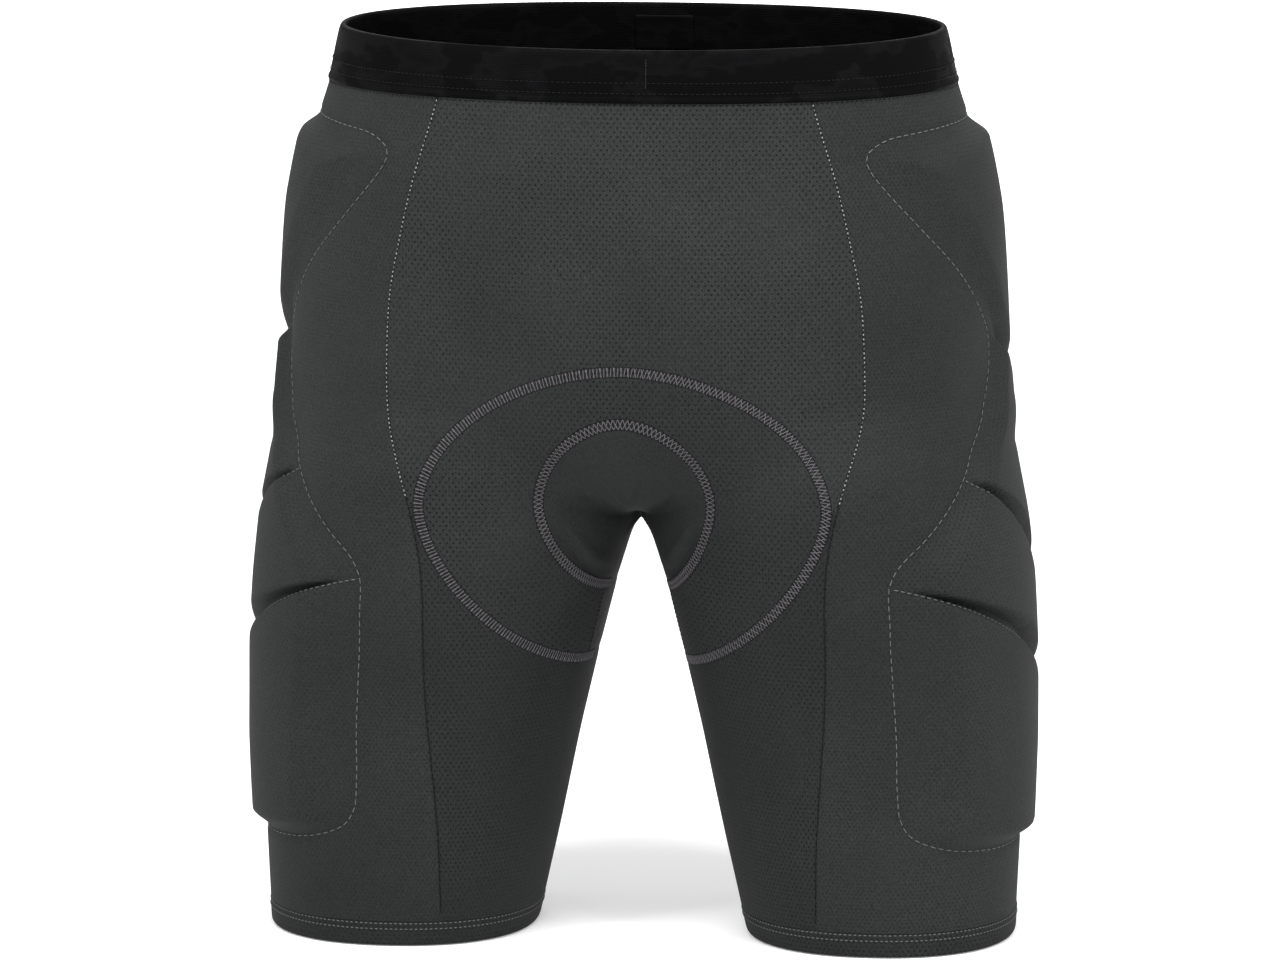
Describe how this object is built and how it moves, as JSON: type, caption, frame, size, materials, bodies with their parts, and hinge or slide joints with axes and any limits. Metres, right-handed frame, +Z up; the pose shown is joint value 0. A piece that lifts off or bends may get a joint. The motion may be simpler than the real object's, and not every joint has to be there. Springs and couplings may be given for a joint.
{
  "type": "padded impact shorts",
  "caption": "Thigh-length stretch shorts in worn shape, with waistband, sewn panels, side hip and thigh pads, tailbone pad and seat pad.",
  "frame": {"origin": "centre of the bounding box's bottom: midway between the two hems, on the surface they stand on", "axes": "+Z up to the waistband, -Y is the front of the garment, +X is the wearer's left"},
  "size_m": [0.3974, 0.229, 0.455],
  "materials": {
    "pinhole_knit": "charcoal polyester stretch knit with fine pinholes",
    "side_knit": "smoother charcoal stretch knit over the pads",
    "smooth_knit": "dense plain dark charcoal knit",
    "waistband_weave": "black elastic jacquard with a faint tonal print",
    "elastic": "black woven elastic",
    "foam": "soft grey impact foam",
    "lining_mesh": "black fine mesh",
    "seat_facing": "brushed black microfibre",
    "label_satin": "blank satin label"
  },
  "bodies": {
    "root": {"back_panel": "pinhole_knit", "crotch_gusset": "smooth_knit", "front_panel": "pinhole_knit", "hem_gripper_left": "elastic", "hem_gripper_right": "elastic", "hem_left": "pinhole_knit", "hem_right": "pinhole_knit", "hip_pad_left": "foam", "hip_pad_right": "foam", "hip_pocket_lining_left": "lining_mesh", "hip_pocket_lining_right": "lining_mesh", "leg_back_panel_left": "pinhole_knit", "leg_back_panel_right": "pinhole_knit", "leg_front_panel_left": "pinhole_knit", "leg_front_panel_right": "pinhole_knit", "oval_insert": "pinhole_knit", "seat_pad_facing": "seat_facing", "seat_pad_foam": "foam", "side_panel_left": "side_knit", "side_panel_right": "side_knit", "size_label": "label_satin", "tailbone_pad": "foam", "tailbone_pocket_lining": "lining_mesh", "thigh_pad_lower_left": "foam", "thigh_pad_lower_right": "foam", "thigh_pad_middle_left": "foam", "thigh_pad_middle_right": "foam", "thigh_pad_upper_left": "foam", "thigh_pad_upper_right": "foam", "thigh_pocket_lining_left": "lining_mesh", "thigh_pocket_lining_right": "lining_mesh", "waistband_cover": "waistband_weave", "waistband_elastic": "elastic"}
  },
  "joints": []
}
